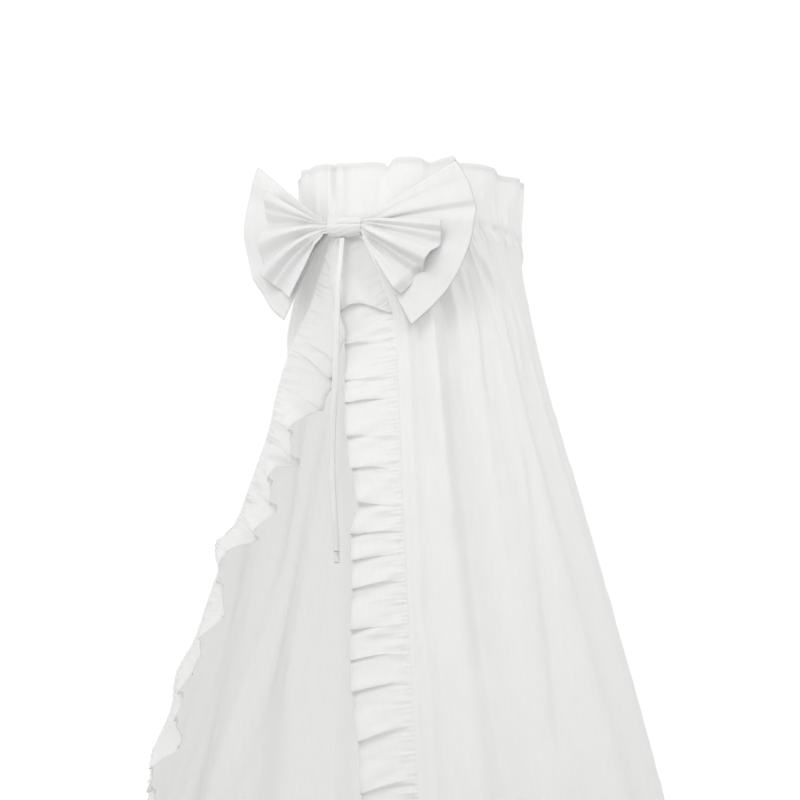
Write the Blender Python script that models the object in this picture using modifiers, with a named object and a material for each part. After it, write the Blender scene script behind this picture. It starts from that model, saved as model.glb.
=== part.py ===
# Crib canopy: one gathered cotton curtain that stands up in a frill above the line where a hoop holds
# it, ruffles down both front edges, a double bow at the top of the opening and two narrow ties.
# Metres, +Z up, the front faces -Y. The origin is the centre of the hoop line.

import math
from collections import namedtuple

import bmesh
import bpy
from mathutils import Matrix, Vector

# Driving sizes, in metres; heights are measured from the hoop line
HEADING_TOP = 0.098
HEM = -1.45
CLOTH = 0.0016
RUFFLE_CLOTH = 0.0014
BOW_CLOTH = 0.0024
TIE_CLOTH = 0.0010
SEAM_GAP = 0.0009

# Heights of the curtain's outline: its half width and half depth in plan, the angles at which its two
# front edges stand, in degrees from the front, positive towards +X, and how far the left edge swings out.
Level = namedtuple("Level", "z half_width half_depth left_edge right_edge left_flare")
LEVELS = (
    Level(HEADING_TOP, 0.1670, 0.1670, -0.6, 0.6, 0.0),
    Level(0.010, 0.1645, 0.1645, -0.6, 0.6, 0.0),
    Level(0.000, 0.1640, 0.1640, -1.6, 2.2, 0.0),
    Level(-0.020, 0.1650, 0.1645, -8.0, 8.5, 0.0),
    Level(-0.055, 0.1690, 0.1665, -16.0, 15.3, 0.0),
    Level(-0.100, 0.1770, 0.1700, -23.0, 21.5, 0.0),
    Level(-0.150, 0.1880, 0.1750, -30.5, 26.2, 0.0),
    Level(-0.250, 0.2150, 0.1890, -37.0, 28.2, 0.004),
    Level(-0.370, 0.2540, 0.2080, -44.5, 29.9, 0.013),
    Level(-0.540, 0.3060, 0.2350, -50.0, 32.2, 0.028),
    Level(-0.780, 0.3780, 0.2720, -54.0, 35.0, 0.040),
    Level(-1.100, 0.4620, 0.3240, -57.0, 38.5, 0.046),
    Level(HEM, 0.5300, 0.3700, -59.0, 42.0, 0.050),
)
CLOTH_ROWS = (
    HEADING_TOP, 0.050, 0.006, -0.018, -0.050, -0.090, -0.140, -0.230, -0.360, -0.540, -0.780, -1.100, HEM,
)
COLUMNS_PER_FOLD = 3
LEFT_FLARE_START = 0.90
EDGE_STEP = 0.004

# Ridges and valleys of the curtain, from its right front edge (0) round the back to its left one (1),
# each with how far it stands out of the outline below the gathers.
Fold = namedtuple("Fold", "at out")
FOLDS = (
    Fold(0.000, 0.000), Fold(0.022, -0.004), Fold(0.050, 0.007), Fold(0.076, -0.009), Fold(0.108, 0.004),
    Fold(0.140, -0.002), Fold(0.165, 0.004), Fold(0.190, -0.005), Fold(0.225, 0.006), Fold(0.255, -0.004),
    Fold(0.290, 0.007), Fold(0.325, -0.006), Fold(0.360, 0.009), Fold(0.392, -0.008), Fold(0.430, 0.010),
    Fold(0.462, -0.007), Fold(0.498, 0.009), Fold(0.535, -0.010), Fold(0.568, 0.007), Fold(0.602, -0.008),
    Fold(0.640, 0.011), Fold(0.676, -0.008), Fold(0.708, 0.006), Fold(0.742, -0.010), Fold(0.780, 0.009),
    Fold(0.812, -0.007), Fold(0.846, 0.010), Fold(0.882, -0.009), Fold(0.914, 0.006), Fold(0.948, -0.007),
    Fold(0.974, -0.009), Fold(1.000, 0.000),
)
# How much of each fold there is at a height, as a share.
Share = namedtuple("Share", "z share")
FOLD_SHARES = (
    Share(HEM, 1.70), Share(-0.78, 1.35), Share(-0.36, 1.00), Share(-0.14, 0.75), Share(-0.05, 0.35),
    Share(0.0, 0.0),
)
HEADING_WAVES = 13
HEADING_WAVE_OUT = 0.0035
HEADING_WAVE_DRIFT = 0.35
HEADING_DRIFT_TURNS = 2.3
HEADING_END = 0.02
HEADING_TOP_WAVES = 5.3
HEADING_TOP_RISE = 0.004

# Ruffles
RUFFLE_TOP = -0.022
RUFFLE_PITCH = 0.062
RUFFLE_STEP = 0.0105
RUFFLE_ACROSS = 3
RUFFLE_FULL_FALL = 0.14
Ruffle = namedtuple("Ruffle", "name at flute droop phase")
RUFFLES = (
    Ruffle("ruffle_right", 0.0, 0.0065, 0.006, 0.6),
    Ruffle("ruffle_left", 1.0, 0.0040, 0.007, 2.1),
)
# Slow changes of the flutes' spacing and of the ruffle's width, each with its length along the edge.
Drift = namedtuple("Drift", "size length")
FLUTE_DRIFTS = (Drift(0.30, 0.117), Drift(0.22, 0.071))
WIDTH_DRIFT = Drift(0.05, 0.043)
# How wide each ruffle lies at a height.
Width = namedtuple("Width", "z ruffle_right ruffle_left")
WIDTHS = (
    Width(RUFFLE_TOP, 0.028, 0.028), Width(-0.090, 0.074, 0.062), Width(-0.20, 0.080, 0.078),
    Width(-0.30, 0.072, 0.078), Width(-0.39, 0.054, 0.076), Width(-0.43, 0.074, 0.074),
    Width(-0.62, 0.077, 0.076), Width(HEM, 0.078, 0.078),
)
# How far each ruffle turns inwards out of the curtain's surface at a height, in degrees.
Lean = namedtuple("Lean", "z ruffle_right ruffle_left")
LEANS = (
    Lean(RUFFLE_TOP, -2.0, 26.0), Lean(-0.100, 6.0, 40.0), Lean(-0.160, 15.0, 43.0), Lean(-0.235, 8.0, 46.0),
    Lean(-0.275, 4.0, 10.0), Lean(-0.325, 3.0, 40.0), Lean(-0.357, 2.0, 14.0), Lean(-0.402, 0.0, 32.0),
    Lean(-0.462, 0.0, -8.0), Lean(-0.510, 0.0, 5.0), Lean(-0.555, 0.0, 27.0), Lean(-0.595, 0.0, 4.0),
    Lean(-0.645, 0.0, 30.0), Lean(-0.700, 0.0, -2.0), Lean(-0.760, 0.0, 28.0), Lean(-0.815, 0.0, 2.0),
    Lean(-0.870, 0.0, 32.0), Lean(-0.935, 0.0, -4.0), Lean(-0.990, 0.0, 26.0), Lean(-1.045, 0.0, 4.0),
    Lean(-1.110, 0.0, 30.0), Lean(-1.165, 0.0, 0.0), Lean(-1.225, 0.0, 27.0), Lean(-1.290, 0.0, 2.0),
    Lean(-1.345, 0.0, 26.0), Lean(-1.400, 0.0, 2.0), Lean(HEM, 0.0, 14.0),
)

# Bow: a large bow behind a small one, both pleated into the knot
KNOT_ROLL = 4.0
KNOT_LIFT = -0.0035
KNOT_HALF = 0.0325
KNOT_HEIGHT = 0.030
KNOT_DEPTH = 0.0168
KNOT_CLOTH = 0.0026
KNOT_GAP = 0.0007
BUNDLE_HEIGHT = 0.0185
BUNDLE_PLEAT = 0.0006
LAYER_SPACING = 0.0036
LAYER_SPREAD = 0.0115
# Rows of a bow layer's side, from its bottom edge to its top one: the angle above the level, how far
# out the edge lies there, and whether it is a ridge (+) or a valley (-).
Pleat = namedtuple("Pleat", "angle reach out")
Wing = namedtuple("Wing", "name layer pleat left right")
WINGS = (
    Wing(
        "bow_back", 0, 0.0034,
        (
            Pleat(-61.0, 0.1450, 0.2), Pleat(-50.0, 0.1440, 0.5), Pleat(-35.7, 0.1444, -0.4),
            Pleat(-22.0, 0.1500, 0.4), Pleat(-10.9, 0.1550, -0.2), Pleat(7.4, 0.1660, 0.4),
            Pleat(22.6, 0.1700, -0.2), Pleat(39.5, 0.1775, 0.2),
        ),
        (
            Pleat(-64.0, 0.1705, 0.1), Pleat(-54.4, 0.1652, 0.4), Pleat(-41.0, 0.1584, -0.4),
            Pleat(-31.6, 0.1558, 0.4), Pleat(-15.1, 0.1510, -0.2), Pleat(0.0, 0.1518, 0.5),
            Pleat(14.0, 0.1520, -0.4), Pleat(32.5, 0.1504, 0.2),
        ),
    ),
    Wing(
        "bow_front", 1, 0.0074,
        (
            Pleat(-61.0, 0.1100, 0.5), Pleat(-48.0, 0.1106, 0.8), Pleat(-38.0, 0.1140, -0.9),
            Pleat(-24.0, 0.1200, 0.9), Pleat(-11.0, 0.1165, -0.9), Pleat(4.0, 0.1140, 1.0),
            Pleat(17.0, 0.1120, -0.9), Pleat(33.5, 0.1190, 0.6),
        ),
        (
            Pleat(-60.0, 0.1268, 0.2), Pleat(-52.0, 0.1225, 0.4), Pleat(-44.0, 0.1180, -1.0),
            Pleat(-33.0, 0.1195, 1.0), Pleat(-23.5, 0.1190, -1.0), Pleat(-14.0, 0.1168, -0.3),
            Pleat(-4.5, 0.1178, 0.8), Pleat(0.5, 0.1175, 0.8),
        ),
    ),
)
WING_SWEEP_LEFT = 0.020
WING_SWEEP_RIGHT = 0.055
WING_SWEEP_POWER = 1.4
WING_HANG = 0.09
WING_REACH = 0.160
WING_STEPS = 7
WING_ROWS = 28
KNOT_AROUND = 28
KNOT_ALONG = 6
KNOT_RIM = 0.86

# Ties
Tie = namedtuple("Tie", "name length x_top x_middle x_low twist y_top y_low")
TIES = (
    Tie("tie_long", 0.461, 0.0010, -0.0045, 0.0055, -42.0, 0.0010, 0.0210),
    Tie("tie_short", 0.446, 0.0040, 0.0012, 0.0105, 38.0, 0.0026, 0.0290),
)
TIE_MIDDLE = 0.60
TIE_WIDTH = 0.0100
TIE_GAP = 0.0006
TIE_TURN_OUT = 0.09
TIE_STEPS = 26

WHITE = (0.86, 0.86, 0.86, 1.0)


def ease(x):
    """Smooth rise from 0 to 1 as x goes from 0 to 1."""
    x = min(1.0, max(0.0, x))
    return x * x * (3 - 2 * x)


def through(rows, key, value, x):
    """The value of a column at x, eased from row to row, where the rows are sorted by key."""
    rows = sorted(rows, key=lambda row: getattr(row, key))
    if x <= getattr(rows[0], key):
        return getattr(rows[0], value)
    for low, high in zip(rows, rows[1:]):
        if x <= getattr(high, key):
            part = (x - getattr(low, key)) / (getattr(high, key) - getattr(low, key))
            return getattr(low, value) + (getattr(high, value) - getattr(low, value)) * ease(part)
    return getattr(rows[-1], value)


def level_value(name, z):
    """A column of LEVELS at height z, on a smooth curve through the rows."""
    rows = sorted(LEVELS, key=lambda row: row.z)
    z = min(max(z, rows[0].z), rows[-1].z)
    index = max(i for i in range(len(rows) - 1) if rows[i].z <= z)
    before, low, high, after = (rows[min(max(index + k, 0), len(rows) - 1)] for k in (-1, 0, 1, 2))

    def slope(a, b, c):
        first = (getattr(b, name) - getattr(a, name)) / (b.z - a.z) if b.z > a.z else None
        second = (getattr(c, name) - getattr(b, name)) / (c.z - b.z) if c.z > b.z else None
        if first is None or second is None:
            return second if first is None else first
        return 0.0 if first * second <= 0 else 2 * first * second / (first + second)

    span = high.z - low.z
    part = (z - low.z) / span
    start, end = slope(before, low, high), slope(low, high, after)
    a, b = getattr(low, name), getattr(high, name)
    return (
        a * (1 + 2 * part) * (1 - part) ** 2 + span * start * part * (1 - part) ** 2
        + b * part ** 2 * (3 - 2 * part) + span * end * part ** 2 * (part - 1)
    )


def plan_radius(angle, z):
    """Distance from the axis to the curtain's outline, an ellipse in plan."""
    half_width, half_depth = level_value("half_width", z), level_value("half_depth", z)
    return half_width * half_depth / math.hypot(half_depth * math.sin(angle), half_width * math.cos(angle))


def cloth_point(at, z):
    """A point of the curtain's middle surface: at runs from the right front edge to the left one."""
    right, left = level_value("right_edge", z), level_value("left_edge", z)
    angle = math.radians(right + at * (360.0 + left - right))
    out = through(FOLDS, "at", "out", at) * through(FOLD_SHARES, "z", "share", min(z, 0.0))
    height = z
    if z > 0:
        rise = z / HEADING_TOP
        drift = HEADING_WAVE_DRIFT * math.sin(math.tau * HEADING_DRIFT_TURNS * at)
        ends = ease(at / HEADING_END) * ease((1 - at) / HEADING_END)
        out += HEADING_WAVE_OUT * math.sin(math.tau * (HEADING_WAVES * at + drift)) * ease(rise) * ends
        height += HEADING_TOP_RISE * math.sin(math.tau * HEADING_TOP_WAVES * at + 1.1) * rise * ease(rise)
    out += level_value("left_flare", z) * ease((at - LEFT_FLARE_START) / (1 - LEFT_FLARE_START))
    radius = plan_radius(angle, z) + out
    return Vector((radius * math.sin(angle), -radius * math.cos(angle), height))


def edge_frame(at, z):
    """A point of the curtain's front edge, the way out of the cloth there, and the inward normal."""
    rows = sorted(CLOTH_ROWS)
    index = min(max(i for i in range(len(rows) - 1) if rows[i] <= z), len(rows) - 2)
    low, high = rows[index], rows[index + 1]
    start, end = cloth_point(at, low), cloth_point(at, high)
    point = start.lerp(end, (z - low) / (high - low))
    along = (end - start).normalized()
    inside = cloth_point(at + (EDGE_STEP if at < 0.5 else -EDGE_STEP), z)
    across = point - inside
    across = (across - along * across.dot(along)).normalized()
    normal = across.cross(along) if at < 0.5 else along.cross(across)
    return point, across, normal.normalized()


def ruffle_point(ruffle, z, across):
    """A point of a ruffle's middle surface; across is 0 at the seam and 1 at the free edge."""
    point, out, normal = edge_frame(ruffle.at, z)
    lean = math.radians(through(LEANS, "z", ruffle.name, z))
    fall = RUFFLE_TOP - z
    width = through(WIDTHS, "z", ruffle.name, z)
    turns = fall / RUFFLE_PITCH + sum(drift.size * math.sin(fall / drift.length) for drift in FLUTE_DRIFTS)
    wave = math.sin(math.tau * turns + ruffle.phase)
    lag = math.cos(math.tau * turns + ruffle.phase)
    reach = width * (1 + WIDTH_DRIFT.size * math.sin(fall / WIDTH_DRIFT.length)) * across
    flute = ruffle.flute * (0.4 + 0.6 * ease(fall / RUFFLE_FULL_FALL)) * wave * across ** 1.2
    place = point + out * (SEAM_GAP + reach * math.cos(lean)) + normal * reach * math.sin(lean)
    place += normal * flute
    place.z += ruffle.droop * lag * across * ease(fall / 0.05) * ease((z - HEM) / 0.05)
    return place


def bow_plane(x, z):
    """The bow's middle plane, -Y forward: flat at the knot, swept back along the wings, tilted out below."""
    far = max(0.0, (abs(x) - KNOT_HALF) / WING_REACH)
    sweep = (WING_SWEEP_RIGHT if x > 0 else WING_SWEEP_LEFT) * far ** WING_SWEEP_POWER
    return KNOT_Y + sweep - WING_HANG * max(0.0, -z) * ease(far * 3)


def wing_side(rows, row):
    """Angle, reach and pleat of one side of a bow layer; row is 0 at its top edge and 1 at its bottom one."""
    angle = rows[-1].angle + (rows[0].angle - rows[-1].angle) * row
    return angle, through(rows, "angle", "reach", angle), through(rows, "angle", "out", angle)


def wing_point(wing, along, row):
    """A point of a bow layer: along runs from -2 at the left tip, over the knot from -1 to 1, to 2 at
    the right one; row runs from 0 at the top edge to 1 at the bottom one."""
    left, right = wing_side(wing.left, row), wing_side(wing.right, row)
    side = ease((min(1.0, max(-1.0, along)) + 1) / 2)
    angle = math.radians(left[0] + (right[0] - left[0]) * side)
    pleat = left[2] + (right[2] - left[2]) * side
    reach = right[1] if along > 0 else left[1]
    out = max(0.0, abs(along) - 1)
    spread = ease(out * 6) * out
    start = min(abs(along), 1.0) * KNOT_HALF
    x = math.copysign(start + (KNOT_HALF - start) * spread + math.cos(angle) * reach * out, along)
    middle = KNOT_LIFT - math.copysign(start, along) * math.tan(math.radians(KNOT_ROLL))
    z = ((0.5 - row) * BUNDLE_HEIGHT + middle) * (1 - spread) + math.sin(angle) * reach * out
    depth = BUNDLE_PLEAT + (wing.pleat - BUNDLE_PLEAT) * ease(out * 3)
    forward = depth * pleat + wing.layer * (LAYER_SPACING + LAYER_SPREAD * ease(out * 5))
    return Vector((x, bow_plane(x, z) - forward + LAYER_SPACING / 2, z))


def tie_point(tie, fall, across):
    """A point of a tie: it leaves the knot's underside, passes over the ruffles and hangs straight."""
    part = fall / tie.length
    x = tie.x_top + (tie.x_middle - tie.x_top) * ease(part / TIE_MIDDLE)
    x += (tie.x_low - tie.x_middle) * ease((part - TIE_MIDDLE) / (1 - TIE_MIDDLE))
    y = KNOT_Y - tie.y_top - (tie.y_low - tie.y_top) * ease(fall / TIE_TURN_OUT)
    turn = math.radians(tie.twist) * math.sin(math.pi * part)
    offset = TIE_WIDTH * (across - 0.5)
    level = (x + offset) * math.tan(math.radians(KNOT_ROLL)) * (1 - ease(fall / TIE_TURN_OUT))
    z = KNOT_LIFT - KNOT_HEIGHT / 2 - TIE_GAP - fall - level
    return Vector((x + offset * math.cos(turn), y + offset * math.sin(turn), z))


def material(name, roughness):
    """A plain cloth material."""
    made = bpy.data.materials.new(name)
    made.use_nodes = True
    shader = made.node_tree.nodes["Principled BSDF"]
    shader.inputs["Base Color"].default_value = WHITE
    shader.inputs["Roughness"].default_value = roughness
    shader.inputs["Metallic"].default_value = 0.0
    return made


def sheet(name, columns, rows, place, thickness, finish, collection):
    """A grid whose points are placed by a function of column and row, given thickness."""
    mesh = bpy.data.meshes.new(name)
    grid = bmesh.new()
    bmesh.ops.create_grid(grid, x_segments=columns, y_segments=rows, size=0.5)
    for vert in grid.verts:
        column = round((vert.co.x + 0.5) * columns)
        row = round((vert.co.y + 0.5) * rows)
        vert.co = place(column, row)
    bmesh.ops.recalc_face_normals(grid, faces=grid.faces)
    grid.to_mesh(mesh)
    grid.free()
    mesh.shade_smooth()
    made = bpy.data.objects.new(name, mesh)
    made.data.materials.append(finish)
    collection.objects.link(made)
    solid = made.modifiers.new("thickness", "SOLIDIFY")
    solid.thickness = thickness
    solid.offset = 0.0
    return made


def build_curtain(finish, collection):
    stations = []
    for low, high in zip(FOLDS, FOLDS[1:]):
        stations += [low.at + (high.at - low.at) * k / COLUMNS_PER_FOLD for k in range(COLUMNS_PER_FOLD)]
    stations.append(1.0)
    sheet(
        "canopy_cloth", len(stations) - 1, len(CLOTH_ROWS) - 1,
        lambda column, row: cloth_point(stations[column], CLOTH_ROWS[row]), CLOTH, finish, collection,
    )


def build_ruffle(ruffle, finish, collection):
    steps = round((RUFFLE_TOP - HEM) / RUFFLE_STEP)
    sheet(
        ruffle.name, RUFFLE_ACROSS, steps,
        lambda column, row: ruffle_point(
            ruffle, RUFFLE_TOP + (HEM - RUFFLE_TOP) * row / steps, column / RUFFLE_ACROSS
        ),
        RUFFLE_CLOTH, finish, collection,
    )


def build_wing(wing, finish, collection):
    half = [0.0] + [1 + k / WING_STEPS for k in range(WING_STEPS + 1)]
    stations = [-station for station in reversed(half[1:])] + half
    sheet(
        wing.name, len(stations) - 1, WING_ROWS,
        lambda column, row: wing_point(wing, stations[column], row / WING_ROWS), BOW_CLOTH, finish,
        collection,
    )


def build_knot(finish, collection):
    """A band wrapped round the pleats of both bows, fuller in the middle."""
    mesh = bpy.data.meshes.new("bow_knot")
    band = bmesh.new()
    bmesh.ops.create_cone(
        band, segments=KNOT_AROUND, radius1=1.0, radius2=1.0, depth=1.0, cap_ends=False
    )
    lengthwise = [edge for edge in band.edges if abs(edge.verts[0].co.z - edge.verts[1].co.z) > 0.5]
    bmesh.ops.subdivide_edges(band, edges=lengthwise, cuts=KNOT_ALONG - 1)
    for vert in band.verts:
        x = vert.co.z * 2 * (KNOT_HALF - KNOT_CLOTH)
        full = KNOT_RIM + (1 - KNOT_RIM) * math.cos(math.pi * x / (2 * KNOT_HALF))
        turn = math.atan2(vert.co.y, vert.co.x)
        flat = math.copysign(abs(math.cos(turn)) ** 0.6, math.cos(turn))
        tall = math.copysign(abs(math.sin(turn)) ** 0.8, math.sin(turn))
        depth = (KNOT_DEPTH - KNOT_CLOTH) / 2
        vert.co = Vector((x, flat * depth, tall * (KNOT_HEIGHT - KNOT_CLOTH) / 2 * full))
    bmesh.ops.recalc_face_normals(band, faces=band.faces)
    roll = Matrix.Rotation(math.radians(KNOT_ROLL), 4, "Y")
    bmesh.ops.transform(band, matrix=Matrix.Translation((0, KNOT_Y, KNOT_LIFT)) @ roll, verts=band.verts)
    band.to_mesh(mesh)
    band.free()
    mesh.shade_smooth()
    made = bpy.data.objects.new("bow_knot", mesh)
    made.data.materials.append(finish)
    collection.objects.link(made)
    solid = made.modifiers.new("thickness", "SOLIDIFY")
    solid.thickness = KNOT_CLOTH
    solid.offset = 0.0


def build_tie(tie, finish, collection):
    sheet(
        tie.name, 1, TIE_STEPS,
        lambda column, row: tie_point(tie, tie.length * row / TIE_STEPS, column), TIE_CLOTH, finish,
        collection,
    )


KNOT_Y = -(LEVELS[2].half_depth + CLOTH / 2 + KNOT_GAP + KNOT_DEPTH / 2)


def main():
    for old in list(bpy.data.objects):
        bpy.data.objects.remove(old, do_unlink=True)
    collection = bpy.data.collections.new("crib_canopy")
    bpy.context.scene.collection.children.link(collection)
    cotton = material("white cotton", 0.85)
    bow_cotton = material("white bow cotton", 0.8)
    build_curtain(cotton, collection)
    for ruffle in RUFFLES:
        build_ruffle(ruffle, cotton, collection)
    for wing in WINGS:
        build_wing(wing, bow_cotton, collection)
    build_knot(bow_cotton, collection)
    for tie in TIES:
        build_tie(tie, bow_cotton, collection)


main()
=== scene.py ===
import math
import bmesh
import bpy
import numpy as np
from mathutils import Matrix, Vector


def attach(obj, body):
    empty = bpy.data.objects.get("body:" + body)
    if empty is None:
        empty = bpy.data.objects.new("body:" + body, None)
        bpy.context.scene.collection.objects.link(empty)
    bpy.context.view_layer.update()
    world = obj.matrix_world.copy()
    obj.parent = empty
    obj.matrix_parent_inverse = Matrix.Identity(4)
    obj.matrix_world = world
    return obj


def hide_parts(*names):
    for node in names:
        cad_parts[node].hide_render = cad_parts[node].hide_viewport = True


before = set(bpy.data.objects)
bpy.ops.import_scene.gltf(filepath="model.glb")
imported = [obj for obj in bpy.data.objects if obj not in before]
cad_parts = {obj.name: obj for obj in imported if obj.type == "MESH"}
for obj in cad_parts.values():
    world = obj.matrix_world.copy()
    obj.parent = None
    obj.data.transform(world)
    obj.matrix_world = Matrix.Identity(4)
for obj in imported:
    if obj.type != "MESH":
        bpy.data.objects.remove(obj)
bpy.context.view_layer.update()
print("frame loaded")


# small tools for curves and uneven cloth
def easeStep(x):
    x = np.clip(x, 0.0, 1.0)
    return x * x * (3 - 2 * x)


def bell(x, half):
    return np.exp(-(x / half) ** 2)


def endsEased(x, share):
    # 0 at both ends of 0 to 1, and 1 further in than this share
    return easeStep(x / share) * easeStep((1 - x) / share)


def lastPart(x, start):
    # 0 up to the start, then eased to 1 at 1
    return easeStep((x - start) / (1 - start))


def tableSpan(x, rows, column):
    # a table's keys and values, the row just below each x, and how far x is on from it to the next
    keys = np.array([row[0] for row in rows], float)
    values = np.array([row[column] for row in rows], float)
    x = np.clip(x, keys[0], keys[-1])
    i = np.clip(np.searchsorted(keys, x, side="right") - 1, 0, len(keys) - 2)
    return keys, values, i, (x - keys[i]) / (keys[i + 1] - keys[i])


def easedTable(x, rows, column=1):
    # eased from row to row, rows sorted by their first number
    values, i, t = tableSpan(x, rows, column)[1:]
    return values[i] + (values[i + 1] - values[i]) * easeStep(t)


def curveTable(x, rows, column=1):
    # one smooth curve through the rows that never overshoots them
    keys, values, i, t = tableSpan(x, rows, column)
    steps = np.diff(values) / np.diff(keys)
    slopes = np.empty(len(keys))
    slopes[0], slopes[-1] = steps[0], steps[-1]
    before, after = steps[:-1], steps[1:]
    same = before * after > 0
    total = np.where(same, before + after, 1.0)
    slopes[1:-1] = np.where(same, 2 * before * after / total, 0.0)
    span = keys[i + 1] - keys[i]
    return (
        values[i] * (1 + 2 * t) * (1 - t) ** 2 + span * slopes[i] * t * (1 - t) ** 2
        + values[i + 1] * t ** 2 * (3 - 2 * t) + span * slopes[i + 1] * t ** 2 * (t - 1)
    )


# the waves of a ripple: how many run together, how uneven their pitches are, and how much they are calmed
waves = {"count": 6, "turns": (0.72, 1.38), "calm": 1.4}


def ripple(x, pitch, seed):
    # uneven waves of about one pitch, mostly between -1 and 1
    draw = np.random.default_rng(seed)
    total = np.zeros_like(x)
    for _ in range(waves["count"]):
        turns = draw.uniform(*waves["turns"]) / pitch
        total += np.sin(math.tau * (x * turns + draw.uniform(0, 1)))
    return total / math.sqrt(waves["count"]) / waves["calm"]


def softNoise(u, v, size, seed):
    # smooth patches of about one size on the flat cloth, between -1 and 1
    draw = np.random.default_rng(seed)
    a, b = u / size, v / size
    i, j = np.floor(a).astype(int), np.floor(b).astype(int)
    i0, j0 = i.min(), j.min()
    lattice = draw.uniform(-1, 1, (i.max() - i0 + 2, j.max() - j0 + 2))
    fu, fv = easeStep(a - i), easeStep(b - j)
    i, j = i - i0, j - j0
    low = lattice[i, j] * (1 - fu) + lattice[i + 1, j] * fu
    high = lattice[i, j + 1] * (1 - fu) + lattice[i + 1, j + 1] * fu
    return low * (1 - fv) + high * fv


def unit(v):
    return v / np.maximum(np.linalg.norm(v, axis=-1, keepdims=True), 1e-12)


def sheetNormal(points):
    return unit(np.cross(np.gradient(points, axis=1), np.gradient(points, axis=0)))


def quadsOf(index):
    corners = [index[:-1, :-1], index[1:, :-1], index[1:, 1:], index[:-1, 1:]]
    return np.stack(corners, axis=-1).reshape(-1, 4)


def addObject(name, data):
    made = bpy.data.objects.new(name, data)
    bpy.context.scene.collection.objects.link(made)
    return made


def facesToMesh(name, vertices, quads, flat):
    mesh = bpy.data.meshes.new(name)
    mesh.vertices.add(len(vertices))
    mesh.vertices.foreach_set("co", np.ascontiguousarray(vertices, float).ravel())
    mesh.loops.add(quads.size)
    mesh.loops.foreach_set("vertex_index", quads.ravel())
    mesh.polygons.add(len(quads))
    mesh.polygons.foreach_set("loop_start", np.arange(0, quads.size, 4))
    mesh.polygons.foreach_set("use_smooth", np.ones(len(quads), bool))
    mesh.update(calc_edges=True)
    layer = mesh.uv_layers.new(name="cloth")
    layer.data.foreach_set("uv", np.ascontiguousarray(flat[quads.ravel()], float).ravel())
    mesh.validate()
    return addObject(name, mesh)


def doubleCloth(name, points, flat, thickness, rim=3):
    # two layers that close in a rounded edge all round
    rows, columns = points.shape[:2]
    normal = sheetNormal(points)
    r = np.minimum(np.arange(rows), np.arange(rows)[::-1])[:, None]
    c = np.minimum(np.arange(columns), np.arange(columns)[::-1])[None, :]
    edge = np.clip(np.minimum(r, c) / rim, 0, 1)
    half = thickness / 2 * np.sqrt(1 - (1 - edge) ** 2)
    front = points + normal * half[..., None]
    back = points - normal * half[..., None]
    index = np.arange(rows * columns).reshape(rows, columns)
    border = np.zeros((rows, columns), bool)
    border[0, :] = border[-1, :] = border[:, 0] = border[:, -1] = True
    backIndex = index.copy()
    inner = ~border
    backIndex[inner] = rows * columns + np.arange(inner.sum())
    vertices = np.concatenate([front.reshape(-1, 3), back[inner]])
    flats = np.concatenate([flat.reshape(-1, 2), flat[inner]])
    quads = np.concatenate([quadsOf(index)[:, [0, 3, 2, 1]], quadsOf(backIndex)])
    return facesToMesh(name, vertices, quads, flats)


def node(tree, kind, inputs=(), **settings):
    made = tree.nodes.new(kind)
    for key, value in settings.items():
        setattr(made, key, value)
    for socket, value in dict(inputs).items():
        made.inputs[socket].default_value = value
    return made


def wiring(tree):
    # the way to join one node's output to another one's input in this tree
    def wire(source, output, target, socket):
        tree.links.new(source.outputs[output], target.inputs[socket])
    return wire


def plainMaterial(name, colour, **inputs):
    made = bpy.data.materials.new(name)
    made.use_nodes = True
    shader = made.node_tree.nodes["Principled BSDF"]
    shader.inputs["Base Color"].default_value = (*colour, 1)
    for socket, value in inputs.items():
        shader.inputs[socket.replace("_", " ")].default_value = value
    return made


# the camera stands where the photograph was taken from
view = {
    "azimuth": 33.0, "distance": 2.768, "below": 0.6035, "lens": 85.0,
    # in pixels: the frame's middle, the lens's length and where the ring's middle shows
    "frameMiddle": 400, "focal": 1888.9, "ring": (411, 247),
}


def placeCamera():
    data = bpy.data.cameras.new("camera")
    data.lens = view["lens"]
    camera = addObject("camera", data)
    turn = math.radians(view["azimuth"])
    distance, below, focal = view["distance"], view["below"], view["focal"]
    camera.location = (distance * math.sin(turn), -distance * math.cos(turn), -below)
    pitch = math.atan2(below, distance) - math.atan2(view["frameMiddle"] - view["ring"][1], focal)
    yaw = math.atan2(view["ring"][0] - view["frameMiddle"], focal)
    look = Vector((-math.sin(turn), math.cos(turn), 0))
    look.rotate(Matrix.Rotation(yaw, 3, "Z"))
    ahead = Vector((look.x * math.cos(pitch), look.y * math.cos(pitch), math.sin(pitch)))
    camera.rotation_mode = "QUATERNION"
    camera.rotation_quaternion = ahead.to_track_quat("-Z", "Y")
    bpy.context.scene.camera = camera


placeCamera()
print("camera placed")


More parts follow.
